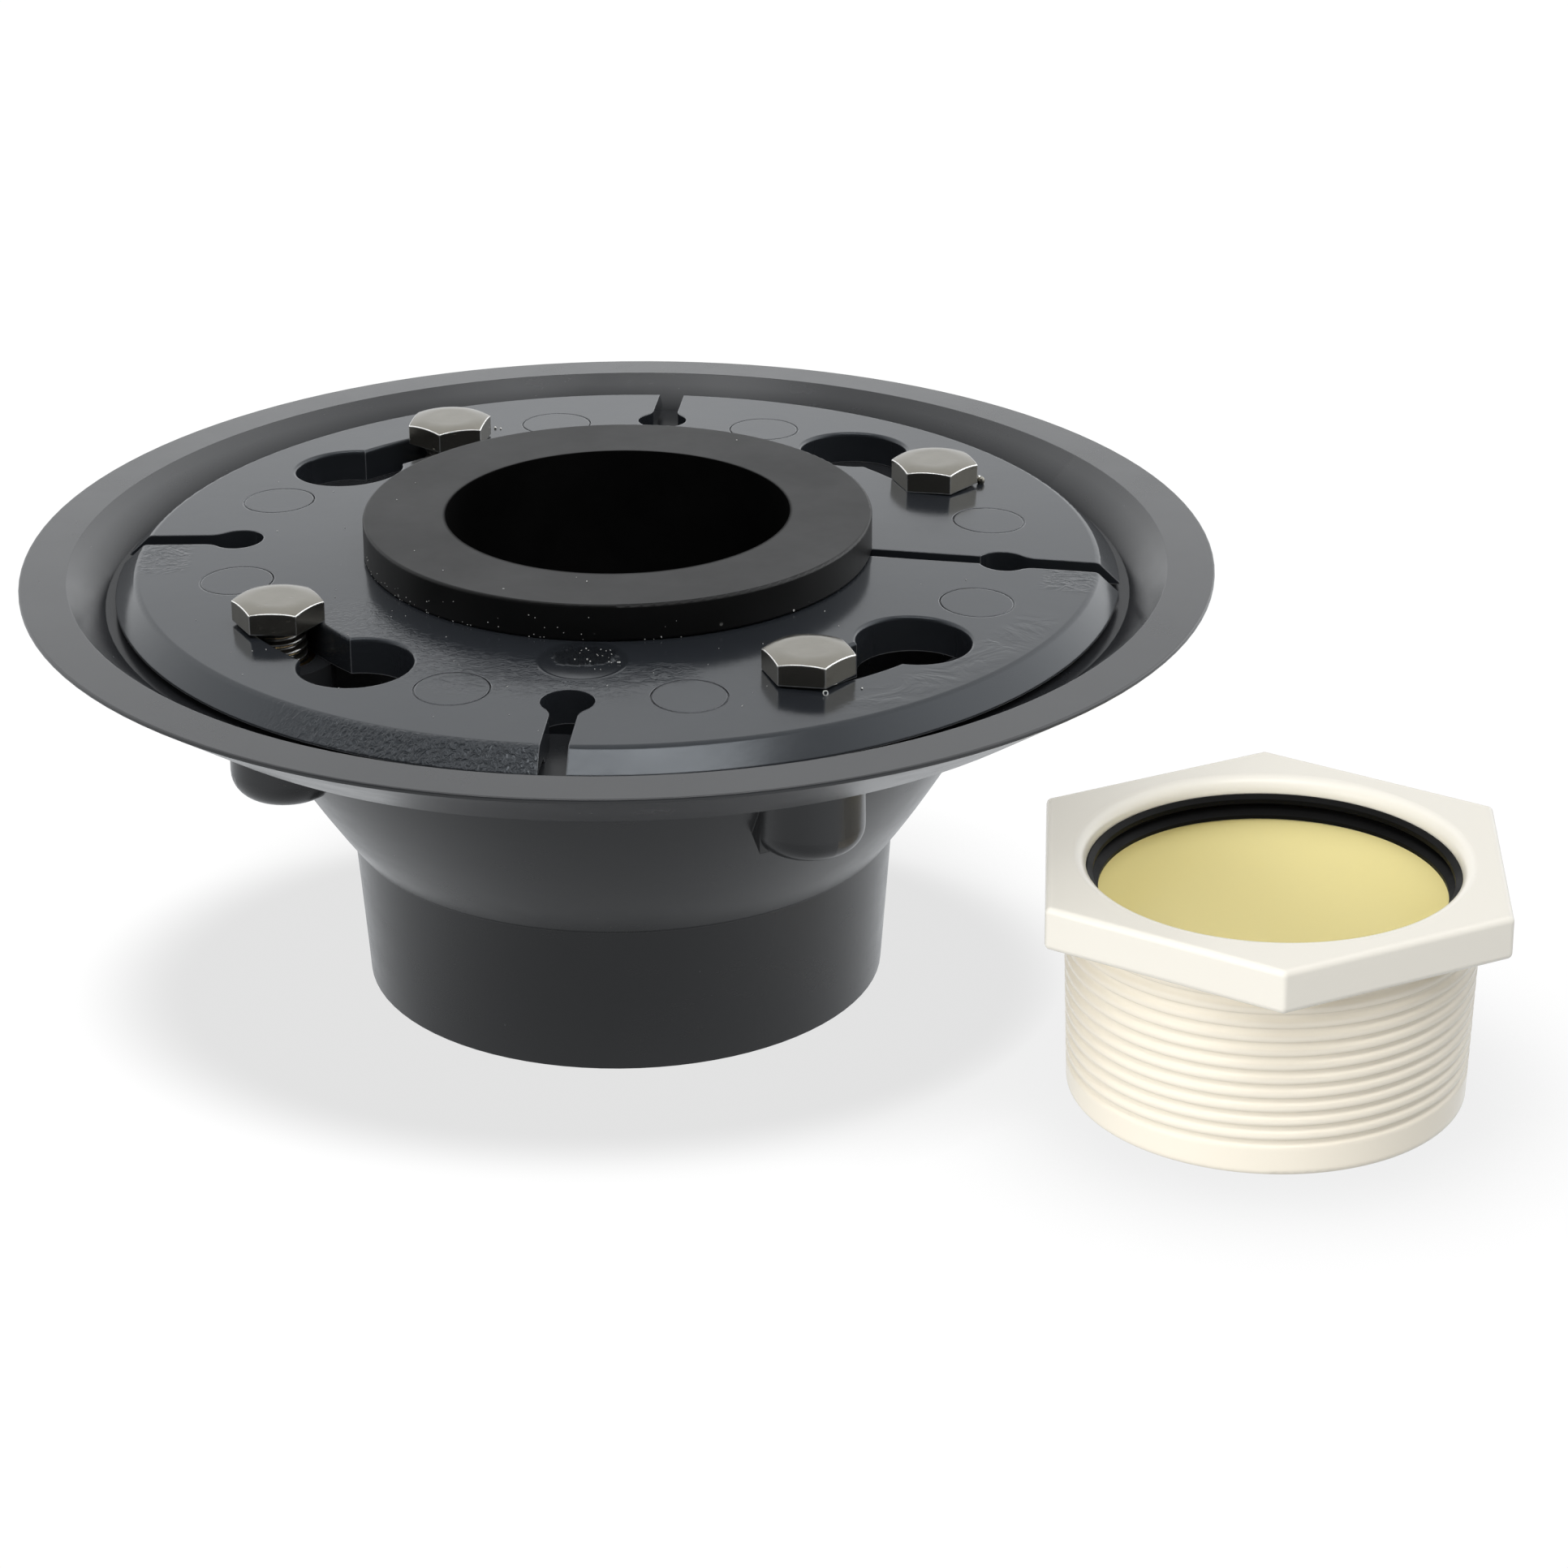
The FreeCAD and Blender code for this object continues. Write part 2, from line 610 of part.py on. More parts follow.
def ring_edges(feature, radius, height):
    """Name the full circles of a feature that lie at a radius and a height."""
    names = []
    for number, edge in enumerate(feature.Shape.Edges, start=1):
        point = edge.Vertexes[0].Point
        at_radius = abs(math.hypot(point.x, point.y) - radius.value) < 0.01
        if at_radius and abs(point.z - height.value) < 0.01:
            names.append(f"Edge{number}")
    return names


def slit_blend_edges(feature, dim):
    """Name the upright edges where each weep slit meets its hole."""
    half = dim["slit_width"].value / 2
    reach = math.sqrt(dim["slit_hole_radius"].value ** 2 - half ** 2)
    distance = math.hypot(dim["slit_hole_circle"].value + reach, half)
    names = []
    for number, edge in enumerate(feature.Shape.Edges, start=1):
        ends = [vertex.Point for vertex in edge.Vertexes]
        upright = len(ends) == 2 and math.hypot(ends[0].x - ends[1].x, ends[0].y - ends[1].y) < 0.01
        if upright and abs(math.hypot(ends[0].x, ends[0].y) - distance) < 0.05:
            names.append(f"Edge{number}")
    return names


def keyhole_edges(feature, dim):
    """Name the edges where the keyholes meet the collar's sloping top."""
    slope = (dim["collar_seat_height"] - dim["shoulder_height"]).value
    slope /= (dim["shoulder_radius"] - dim["collar_seat_radius"]).value
    spacing = 360 / dim["bolt_count"].value
    margin = dim["keyhole_turn"].value / 2
    reach = dim["eye_radius"].value + 0.5
    names = []
    for number, edge in enumerate(feature.Shape.Edges, start=1):
        middle = edge.valueAt((edge.FirstParameter + edge.LastParameter) / 2)
        radius = math.hypot(middle.x, middle.y)
        turn = (math.degrees(math.atan2(middle.y, middle.x)) + margin) % spacing
        beside_keyhole = turn < margin * 4 and abs(radius - dim["eye_circle"].value) < reach
        top = dim["collar_seat_height"].value - (radius - dim["collar_seat_radius"].value) * slope
        if beside_keyhole and abs(middle.z - top) < 0.01:
            names.append(f"Edge{number}")
    return names


def pin_sketch(body, dim):
    """Outline the lines round the two ejector-pin marks beside one weep slit."""
    sketch = new_sketch(body, "XY_Plane", "pin_marks", height=dim["pin_height"])
    for side in (-1, 1):
        x, y = polar(dim["pin_circle"], dim["slit_turn"] + dim["pin_turn"] * side)
        draw_circle(sketch, x, y, dim["pin_radius"])
        draw_circle(sketch, x, y, dim["pin_radius"] + dim["pin_line"])
    return sketch


def vent_sketch(body, dim):
    """Outline the groove from under the rubber ring to one weep hole."""
    sketch = new_sketch(body, "XY_Plane", "vent", height=dim["collar_seat_height"], turn=dim["slit_turn"])
    half = dim["vent_width"] / 2
    inside = dim["ring_radius"] - dim["cut_over"]
    draw_outline(sketch, [
        (inside, -half),
        (dim["vent_outer"], -half),
        (dim["vent_outer"], half),
        (inside, half),
    ])
    return sketch


def make_ring(doc, dim):
    """Rubber ring: a flat flange on the collar's seat with a skirt down its throat."""
    body = new_body(doc, "throat_ring")
    edge = dim["ring_round"]
    outside = dim["ring_radius"]
    turned(body, "Revolution", "section", [
        (dim["ring_bore"], dim["skirt_bottom"]),
        (dim["skirt_radius"], dim["skirt_bottom"]),
        (dim["skirt_radius"], dim["ring_bottom"]),
        (outside - edge, dim["ring_bottom"]),
        (outside, dim["ring_bottom"] + edge, edge),
        (outside, dim["ring_top"] - edge),
        (outside - edge, dim["ring_top"], edge),
        (dim["ring_bore"], dim["ring_top"]),
    ])
    return body


def make_bolt(doc, dim, place, angle, head_turn):
    """Hexagon-head clamp bolt, threaded to the head."""
    body = new_body(doc, f"clamp_bolt_{place}")
    head_bottom = dim["head_bottom"]
    head_top = head_bottom + dim["head_height"]
    tip = head_bottom - dim["bolt_length"]
    major = dim["bolt_major_radius"]
    hexagon = new_sketch(body, "XY_Plane", "head", height=head_bottom)
    draw_hexagon(hexagon, dim["head_corner_radius"])
    straight(body, "Pad", "head", hexagon, dim["head_height"], upward=True)
    turned(body, "Groove", "head_dome", [
        (dim["head_flat_radius"], head_top),
        (dim["head_dome_radius"], head_top - dim["head_dome_drop"], -dim["head_dome_curve"]),
        (dim["head_dome_radius"], head_top),
    ])
    turned(body, "Revolution", "shank", [
        (ZERO, tip),
        (major - dim["bolt_point"], tip),
        (major, tip + dim["bolt_point"]),
        (major, head_bottom),
        (ZERO, head_bottom),
    ])
    pitch = dim["bolt_pitch"]
    groove = groove_outline(major + 0.2, dim["bolt_minor_radius"], tip - pitch, pitch)
    screw_thread(body, "thread", groove, pitch, dim["bolt_length"])
    x, y = polar(dim["bolt_circle"], angle)
    move_body(body, x, y, Size(head_turn))
    return body


def make_adapter(doc, dim):
    """Adapter: a hexagon on a tapered pipe thread, bored through, with a seal groove."""
    body = new_body(doc, "adapter_body")
    hexagon_bottom = dim["adapter_height"] - dim["hexagon_height"]
    hexagon = new_sketch(body, "XY_Plane", "hexagon", height=hexagon_bottom, turn=Size(-90))
    draw_hexagon(hexagon, dim["hexagon_radius"])
    head = straight(body, "Pad", "hexagon", hexagon, dim["hexagon_height"], upward=True)
    doc.recompute()
    every_edge = [f"Edge{number}" for number in range(1, len(head.Shape.Edges) + 1)]
    rounded_edges(body, "hexagon_edges", head, every_edge, dim["hexagon_round"])
    edge = dim["barrel_round"]
    turned(body, "Revolution", "barrel", [
        (ZERO, ZERO),
        (dim["barrel_bottom_radius"] - edge, ZERO),
        (dim["barrel_bottom_radius"], edge, edge),
        (dim["barrel_top_radius"], hexagon_bottom),
        (ZERO, hexagon_bottom),
    ])
    mouth = dim["adapter_mouth"]
    turned(body, "Groove", "bore", [
        (ZERO, ZERO),
        (dim["adapter_bore"], ZERO),
        (dim["adapter_bore"], dim["seal_bottom"]),
        (dim["seal_radius"], dim["seal_bottom"]),
        (dim["seal_radius"], dim["seal_top"]),
        (mouth, dim["seal_top"]),
        (mouth, dim["adapter_height"] - dim["mouth_round"]),
        (mouth + dim["mouth_round"], dim["adapter_height"], -dim["mouth_round"]),
        (ZERO, dim["adapter_height"]),
    ])
    pitch = dim["pipe_pitch"]
    lead = dim["barrel_lead"]
    growth = dim["barrel_top_radius"].value - dim["barrel_bottom_radius"].value
    taper = math.degrees(math.atan(growth / hexagon_bottom.value))
    crest = dim["barrel_bottom_radius"] + dim["thread_over"]
    root = dim["barrel_bottom_radius"] - dim["pipe_depth"]
    groove = groove_outline(crest, root, lead, pitch)
    screw_thread(body, "thread", groove, pitch, hexagon_bottom - lead - pitch * 1.2, taper)
    move_body(body, dim["adapter_x"], dim["adapter_y"], dim["adapter_turn"])
    return body


def make_seal(doc, dim):
    """Two-lip rubber seal held in the adapter's groove."""
    body = new_body(doc, "adapter_seal")
    bottom = dim["seal_bottom"]
    top = dim["seal_top"]
    height = top - bottom
    turned(body, "Revolution", "section", [
        (dim["seal_radius"], bottom),
        (dim["seal_radius"], top),
        (dim["seal_root"], top),
        (dim["seal_upper_lip"], top - height * 0.12),
        (dim["seal_upper_lip"], top - height * 0.3),
        (dim["seal_root"], top - height * 0.48),
        (dim["seal_lower_lip"], top - height * 0.7),
        (dim["seal_lower_lip"], top - height * 0.85),
        (dim["seal_root"], bottom),
    ])
    move_body(body, dim["adapter_x"], dim["adapter_y"], dim["adapter_turn"])
    return body


def make_pieces(doc, dim):
    """Make every piece of the kit."""
    pieces = [make_drain_base(doc, dim), make_collar(doc, dim), make_ring(doc, dim)]
    for step, (place, head_turn) in enumerate(BOLT_PLACES):
        angle = dim["bolt_clocking"] + Size(360) / dim["bolt_count"] * step
        pieces.append(make_insert(doc, dim, place, angle))
        pieces.append(make_bolt(doc, dim, place, angle, head_turn))
    pieces += [make_adapter(doc, dim), make_seal(doc, dim)]
    return pieces


def check(doc, pieces):
    """Stop on a failed object, a cut that removes nothing, or a bad or split piece."""
    for thing in doc.Objects:
        if {"Invalid", "Error"} & set(thing.State):
            raise RuntimeError(f"{thing.Name} failed: {thing.State}")
        cuts = thing.TypeId.split("::")[-1] in ("Pocket", "Groove", "SubtractiveHelix")
        if cuts and thing.Shape.Volume > thing.BaseFeature.Shape.Volume - 0.01:
            raise RuntimeError(f"{thing.Name} removes nothing")
    for piece in pieces:
        shape = piece.Shape
        if shape.isNull() or not shape.isValid() or len(shape.Solids) != 1:
            raise RuntimeError(f"{piece.Label} is not one valid solid")


def main():
    """Build the document, check it and write one STEP file per piece."""
    doc = FreeCAD.newDocument("shower_drain_kit")
    pieces = make_pieces(doc, make_sheet(doc))
    doc.recompute()
    check(doc, pieces)
    os.makedirs("parts", exist_ok=True)
    for piece in pieces:
        piece.Shape.exportStep(f"parts/{piece.Label}.step")
        print(piece.Label, round(piece.Shape.Volume / 1000, 2), "cm3")


main()
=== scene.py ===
import math
import random

import bmesh
import bpy
from mathutils import Matrix, Vector, noise


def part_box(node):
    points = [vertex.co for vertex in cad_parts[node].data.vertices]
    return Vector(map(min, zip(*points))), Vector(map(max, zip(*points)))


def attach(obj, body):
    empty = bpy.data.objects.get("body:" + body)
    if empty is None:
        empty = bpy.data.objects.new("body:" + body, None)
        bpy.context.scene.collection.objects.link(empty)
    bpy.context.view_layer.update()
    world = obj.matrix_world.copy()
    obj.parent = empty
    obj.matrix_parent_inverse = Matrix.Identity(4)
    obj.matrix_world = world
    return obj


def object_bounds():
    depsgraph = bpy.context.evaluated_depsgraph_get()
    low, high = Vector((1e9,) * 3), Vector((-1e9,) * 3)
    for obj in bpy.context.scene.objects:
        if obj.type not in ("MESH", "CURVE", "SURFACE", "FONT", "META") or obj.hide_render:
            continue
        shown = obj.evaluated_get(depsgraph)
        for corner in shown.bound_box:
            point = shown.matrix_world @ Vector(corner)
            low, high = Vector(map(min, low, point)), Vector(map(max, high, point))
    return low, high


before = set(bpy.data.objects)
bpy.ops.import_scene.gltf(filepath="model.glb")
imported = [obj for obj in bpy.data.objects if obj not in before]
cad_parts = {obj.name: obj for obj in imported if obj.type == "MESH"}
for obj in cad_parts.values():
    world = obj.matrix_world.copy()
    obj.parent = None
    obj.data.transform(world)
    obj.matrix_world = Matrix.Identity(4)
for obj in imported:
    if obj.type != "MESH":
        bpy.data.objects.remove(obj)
cad_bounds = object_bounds()

# Looks for the shower-drain kit: materials, small moulded details, studio light and camera.
# Metres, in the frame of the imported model: the drain's axis is the Z axis, and z = 0 is the
# bench that the hub and the loose adapter stand on. The camera looks along +Y.
MM = 0.001

# The collar's broken-off sprue: radius (millimetres) and angle (degrees) round the drain's axis,
# then, in millimetres from there, its outer edge, its raised circle, and the middle and
# half-sizes of its torn patch.
SCAR_PLACE = (44.0, -94.8)
SCAR_REACH = 6.6
SCAR_CIRCLE = 6.2
TORN_MIDDLE = (0.4, 1.6, 0.0)
TORN_REACH = (5.0, 3.2)

# The collar's PVC: dark and light shade, roughness and reflected tint.
COLLAR_SHADES = (0.012, 0.0135, 0.0160), (0.016, 0.018, 0.0212)
COLLAR_ROUGH = 0.15
COLLAR_SHINE = 0.37
COLLAR_TINT = (0.90, 0.95, 1.0, 1.0)

# Metal chips on the collar, each with its radius (millimetres) and angle (degrees) round the
# drain's axis. The crumbs have a size (millimetres) too.
CURLS = ((61.3, 29.0), (62.4, -61.2))
LUMP = (61.3, 26.9)
CRUMBS = ((63.1, -56.2, 0.16), (57.2, 111.6, 0.22), (56.6, 110.9, 0.15))

# Sizes of the CAD pieces that the materials follow, in millimetres: the base's pipe socket, the
# flat underside of its bowl (its outer edge and its height) and the bowl's floor, the bores of
# the ring and the adapter, and the thickness of the adapter's hexagon.
SOCKET_RADIUS = 30.25
DISH_RADIUS = 75.2
DISH_HEIGHT = 56.2
FLOOR_HEIGHT = 60.9
RING_BORE = 25.4
ADAPTER_BORE = 26.0
HEXAGON_HEIGHT = 6.6

# The camera: place and lens in millimetres, dip below level and roll in degrees.
CAMERA_PLACE = (24.31, -651.06, 319.73)
CAMERA_DIP = 24.14
CAMERA_ROLL = -0.29
CAMERA_LENS = 108.37
CAMERA_SENSOR = 36.0


class Finish:
    """A procedural material, with short calls for the nodes that it needs."""

    def __init__(self, name, edge=0.0, **settings):
        self.material = bpy.data.materials.new(name)
        self.material.use_nodes = True
        self.tree = self.material.node_tree
        self.shader = self.tree.nodes["Principled BSDF"]
        self.place = self.add("ShaderNodeTexCoord").outputs["Object"]
        # The normal that the next bump builds on, and the node that softens the edges.
        self.surface = None
        self.bevel = None
        for label, value in settings.items():
            self.put(self.shader, label.replace("_", " "), value)
        if edge:
            self.bevel = self.add("ShaderNodeBevel", {"Radius": edge}, samples=6)
            self.surface = self.bevel.outputs["Normal"]
            self.put(self.shader, "Normal", self.surface)

    def put(self, node, label, value):
        """Link a socket or set a value on a node's input."""
        socket = node.inputs[label]
        if isinstance(value, bpy.types.NodeSocket):
            self.tree.links.new(value, socket)
        else:
            socket.default_value = value

    def add(self, kind, inputs=None, **settings):
        """Add a node."""
        node = self.tree.nodes.new(kind)
        for label, value in settings.items():
            setattr(node, label, value)
        for label, value in (inputs or {}).items():
            self.put(node, label, value)
        return node

    def choose(self, share, first, second):
        """Blend two shaders."""
        return self.add("ShaderNodeMixShader", {0: share, 1: first, 2: second}).outputs[0]

    def glow(self, strength, colour=(1.0, 1.0, 1.0, 1.0)):
        """A shader that gives off light."""
        inputs = {"Color": colour, "Strength": strength}
        return self.add("ShaderNodeEmission", inputs).outputs[0]

    def show(self, shader):
        """Send a shader to the material's output."""
        self.tree.links.new(shader, self.tree.nodes["Material Output"].inputs["Surface"])

    def base_shade(self):
        """The colour that the shader has so far."""
        return self.shader.inputs["Base Color"].links[0].from_socket

    def stretched(self, x, y, z, place=None):
        """Scale the texture space."""
        inputs = {"Vector": place or self.place, "Scale": (x, y, z)}
        return self.add("ShaderNodeMapping", inputs).outputs["Vector"]

    def noise(self, scale, detail=3.0, roughness=0.5, distortion=0.0, place=None):
        """Smooth noise with features of about 1 / scale metres."""
        inputs = {
            "Vector": place or self.place,
            "Scale": scale,
            "Detail": detail,
            "Roughness": roughness,
            "Distortion": distortion,
        }
        return self.add("ShaderNodeTexNoise", inputs).outputs["Fac"]

    def spread(self, value, low, high, to_low=0.0, to_high=1.0, smooth=False):
        """Map a range onto another one, without leaving it."""
        inputs = {
            "Value": value,
            "From Min": low,
            "From Max": high,
            "To Min": to_low,
            "To Max": to_high,
        }
        kind = "SMOOTHSTEP" if smooth else "LINEAR"
        return self.add("ShaderNodeMapRange", inputs, interpolation_type=kind).outputs["Result"]

    def maths(self, operation, first, second=0.0):
        """Combine two numbers."""
        return self.add("ShaderNodeMath", {0: first, 1: second}, operation=operation).outputs[0]

    def mix(self, share, first, second):
        """Blend two colours."""
        node = self.add("ShaderNodeMix", data_type="RGBA")
        self.put(node, "Factor", share)
        for socket, value in ((node.inputs[6], first), (node.inputs[7], second)):
            if isinstance(value, bpy.types.NodeSocket):
                self.tree.links.new(value, socket)
            else:
                socket.default_value = (*value, 1.0)
        return node.outputs[2]

    def bump(self, height, depth):
        """Raise the surface by a height map, on top of earlier bumps."""
        inputs = {"Height": height, "Distance": depth, "Strength": 1.0}
        if self.surface is not None:
            inputs["Normal"] = self.surface
        self.surface = self.add("ShaderNodeBump", inputs).outputs["Normal"]
        self.put(self.shader, "Normal", self.surface)

    def edge_wear_and_highlight(self, low, high):
        """0 on open faces and 1 at sharp edges, from how far the softened normal turns."""
        corner = self.add("ShaderNodeNewGeometry").outputs["Normal"]
        soft = self.bevel.outputs["Normal"]
        turned = self.add("ShaderNodeVectorMath", {0: corner, 1: soft}, operation="DOT_PRODUCT")
        return self.spread(turned.outputs["Value"], low, high)

    def away(self, middle):
        """Vector from a point to here."""
        inputs = {0: self.place, 1: middle}
        return self.add("ShaderNodeVectorMath", inputs, operation="SUBTRACT").outputs[0]

    def length(self, vector):
        """Length of a vector."""
        return self.add("ShaderNodeVectorMath", {0: vector}, operation="LENGTH").outputs["Value"]

    def polar(self, axis=(0.0, 0.0)):
        """Radius and angle (degrees) round an upright axis, the drain's by default, and height."""
        split = self.add("ShaderNodeSeparateXYZ", {0: self.away((*axis, 0.0))}).outputs
        flat = self.add("ShaderNodeCombineXYZ", {0: split["X"], 1: split["Y"]}).outputs[0]
        turn = self.maths("ARCTAN2", split["Y"], split["X"])
        return self.length(flat), self.maths("DEGREES", turn), split["Z"]

    def specks(self, scale, size, share):
        """Scattered grains: one in a few of the cells that are about 1 / scale metres wide."""
        inputs = {"Vector": self.place, "Scale": scale}
        node = self.add("ShaderNodeTexVoronoi", inputs)
        chance = self.add("ShaderNodeSeparateColor", {0: node.outputs["Color"]}).outputs["Red"]
        picked = self.maths("LESS_THAN", chance, share)
        grain = self.spread(node.outputs["Distance"], size * 0.7, size, 1.0, 0.0)
        return self.maths("MULTIPLY", grain, picked)

    def near(self, value, middle, core, fade):
        """1 within core of a middle value, falling to 0 over fade beyond it."""
        away = self.maths("ABSOLUTE", self.maths("SUBTRACT", value, middle))
        return self.spread(away, core, core + fade, 1.0, 0.0, smooth=True)


def pvc(name, dark, light, rough, edge):
    """Moulded PVC: near-black with a satin skin, faint mottling, slight waviness and soft edges."""
    finish = Finish(name, edge=edge, IOR=1.52)
    cloud = finish.noise(28.0, 4.0, 0.6)
    shade = finish.mix(finish.spread(cloud, 0.3, 0.7), dark, light)
    paler = tuple(value * 3.0 for value in light)
    shade = finish.mix(finish.specks(420.0, 0.07, 0.05), shade, paler)
    finish.put(finish.shader, "Base Color", shade)
    smear = finish.noise(60.0, 5.0, 0.7, place=finish.stretched(1.0, 1.0, 3.0))
    finish.put(finish.shader, "Roughness", finish.spread(smear, 0.3, 0.7, rough - 0.03, rough + 0.05))
    finish.bump(finish.noise(130.0, 2.0, 0.5), 0.005 * MM)
    finish.bump(finish.noise(1500.0, 2.0, 0.5), 0.0006 * MM)
    return finish


def base_finish():
    """The base's PVC, with painted shade down its throat and in the gap round the collar, and painted
    light under its rim, where it is paler and shines less.
    """
    finish = pvc("base_pvc", (0.015, 0.0157, 0.0172), (0.019, 0.0199, 0.0218), 0.24, 0.20 * MM)
    radius, _, height = finish.polar()
    # Painted shade down the throat: it hardly shines inside as far out as the pipe socket, up to the
    # bowl.
    beyond_throat = finish.spread(radius, (SOCKET_RADIUS - 1.25) * MM, (SOCKET_RADIUS + 0.75) * MM)
    up_in_bowl = finish.spread(height, (DISH_HEIGHT - 0.2) * MM, (FLOOR_HEIGHT + 1.1) * MM)
    open_air = finish.maths("MAXIMUM", beyond_throat, up_in_bowl)
    shine = finish.spread(open_air, 0.0, 1.0, 0.05, 0.5)
    # Painted light: below the rim, from just outside the bowl's flat underside, the PVC is painted
    # paler and shines less.
    facing = finish.add("ShaderNodeNewGeometry").outputs["True Normal"]
    facing = finish.add("ShaderNodeSeparateXYZ", {0: facing}).outputs["Z"]
    beyond_dish = finish.spread(radius, (DISH_RADIUS + 0.1) * MM, (DISH_RADIUS + 0.4) * MM)
    painted_pale_underside = finish.maths("MULTIPLY", finish.spread(facing, -0.5, -0.7), beyond_dish)
    shine = finish.maths("SUBTRACT", shine, finish.maths("MULTIPLY", painted_pale_underside, 0.22))
    # Painted shade in the gap round the collar: the lowest part of the bowl's wall, and its floor,
    # hardly shine.
    low_wall = finish.spread(height, (FLOOR_HEIGHT + 3.3) * MM, (FLOOR_HEIGHT + 0.1) * MM)
    painted_gap_shade = finish.maths("MULTIPLY", finish.spread(facing, -0.2, -0.05), low_wall)
    above_bell = finish.maths("GREATER_THAN", height, (DISH_HEIGHT - 1.0) * MM)
    painted_gap_shade = finish.maths("MULTIPLY", painted_gap_shade, above_bell)
    shine = finish.maths("SUBTRACT", shine, finish.maths("MULTIPLY", painted_gap_shade, 0.42))
    shine = finish.maths("MAXIMUM", shine, 0.04)
    finish.put(finish.shader, "Specular IOR Level", shine)
    # Painted light: a paler colour under the rim.
    shade = finish.mix(painted_pale_underside, finish.base_shade(), (0.070, 0.072, 0.076))
    finish.put(finish.shader, "Base Color", shade)
    see_through_to_soft_light(finish)
    return finish


def see_through_to_soft_light(finish):
    """Let soft light pass, so that the rim does not darken the adapter beside it."""
    soft = finish.add("ShaderNodeLightPath").outputs["Is Diffuse Ray"]
    clear = finish.add("ShaderNodeBsdfTransparent").outputs[0]
    finish.show(finish.choose(soft, finish.shader.outputs[0], clear))


def collar_finish():
    """The collar's PVC: glossier and bluer, with the wrinkles that the moulding left, and painted
    highlights along its sharp edges.
    """
    finish = pvc("collar_pvc", *COLLAR_SHADES, COLLAR_ROUGH, 0.30 * MM)
    finish.put(finish.shader, "Specular IOR Level", COLLAR_SHINE)
    finish.put(finish.shader, "Specular Tint", COLLAR_TINT)
    # Painted highlight: sharp edges painted paler, as thin bright lines.
    shade = finish.mix(finish.edge_wear_and_highlight(0.975, 0.90), finish.base_shade(), (0.16, 0.165, 0.175))
    finish.put(finish.shader, "Base Color", shade)
    radius, turn, _ = finish.polar()

    def patch(angles, radii):
        """A patch: its middle, half-width and fade, in degrees round the axis and in millimetres."""
        across = finish.near(turn, *angles)
        along = finish.near(radius, *(reach * MM for reach in radii))
        return finish.maths("MULTIPLY", across, along)

    def wrinkle(mask, scale, grains, depth, distortion=1.2, shape=(1.0, 1.0, 1.0)):
        """Ridges from a range of noise, as deep as stated in millimetres where the mask is 1."""
        grain = finish.noise(scale, 4.0, 0.55, distortion, place=finish.stretched(*shape))
        ridge = finish.spread(grain, *grains)
        finish.bump(finish.maths("MULTIPLY", ridge, mask), depth * MM)

    # Slight orange peel all over.
    finish.bump(finish.noise(300.0, 4.0, 0.65), 0.010 * MM)
    # Leathery bevel in front, left of the front slit.
    bevel = finish.spread(radius, 70.4 * MM, 71.0 * MM, smooth=True)
    left_side = finish.maths("LESS_THAN", turn, -95.0)
    leather = finish.maths("MULTIPLY", finish.spread(turn, -136.0, -112.0, smooth=True), left_side)
    leather = finish.maths("MULTIPLY", leather, bevel)
    wrinkle(leather, 1300.0, (0.36, 0.64), 0.12, distortion=0.8, shape=(1.0, 1.0, 0.4))
    # Fine creases at the mouths of the left and right slits.
    for middle in (-9.5, 178.0, -178.0):
        mouth = patch((middle, 1.8, 3.5), (67.0, 2.0, 2.5))
        wrinkle(mouth, 560.0, (0.42, 0.62), 0.09, distortion=1.6, shape=(0.7, 1.0, 1.0))
    # Crinkled skin between the ring, the front keyholes and the front slit.
    wrinkle(patch((-118.0, 26.0, 14.0), (49.0, 5.0, 6.0)), 1000.0, (0.40, 0.66), 0.022)
    middle_skin = patch((-96.0, 14.0, 9.0), (48.5, 2.0, 3.0))
    wrinkle(middle_skin, 800.0, (0.40, 0.62), 0.05, shape=(0.6, 1.0, 1.0))
    # Long flow lines beside the right-hand front keyhole.
    flow = patch((-42.0, 13.0, 9.0), (66.5, 1.5, 3.0))
    wrinkle(flow, 200.0, (0.40, 0.62), 0.06, distortion=1.0, shape=(0.6, 0.8, 1.0))
    return finish


def rubber_finish():
    """Ring rubber: smooth dull black, dusty along its lower edge, and with painted shade in its bore.
    """
    finish = Finish("ring_rubber", edge=0.2 * MM, IOR=1.45)
    radius, _, height = finish.polar()
    bloom = finish.noise(60.0, 4.0, 0.6)
    shade = finish.mix(finish.spread(bloom, 0.35, 0.7), (0.002, 0.002, 0.002), (0.004, 0.004, 0.004))
    # Dust: fine grains at the flange's foot, and a few anywhere outside the bore.
    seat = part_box("clamping_collar")[1][2]
    foot = finish.spread(height, seat + 1.65 * MM, seat + 0.45 * MM)
    grains = finish.maths("MULTIPLY", finish.specks(900.0, 0.28, 0.05), foot)
    sparse = finish.specks(260.0, 0.05, 0.10)
    outside = finish.spread(radius, (RING_BORE + 1.1) * MM, (RING_BORE + 2.1) * MM)
    pale_grains = finish.maths("MULTIPLY", finish.maths("MAXIMUM", grains, sparse), outside)
    finish.put(finish.shader, "Base Color", finish.mix(pale_grains, shade, (0.30, 0.30, 0.29)))
    # Painted shade in the bore: it hardly shines.
    bore = (RING_BORE + 0.1) * MM, (RING_BORE + 0.5) * MM
    finish.put(finish.shader, "Specular IOR Level", finish.spread(radius, *bore, 0.02, 0.22))
    smear = finish.noise(40.0, 5.0, 0.7)
    finish.put(finish.shader, "Roughness", finish.spread(smear, 0.3, 0.7, 0.36, 0.46))
    finish.bump(finish.noise(500.0, 3.0, 0.6), 0.006 * MM)
    return finish


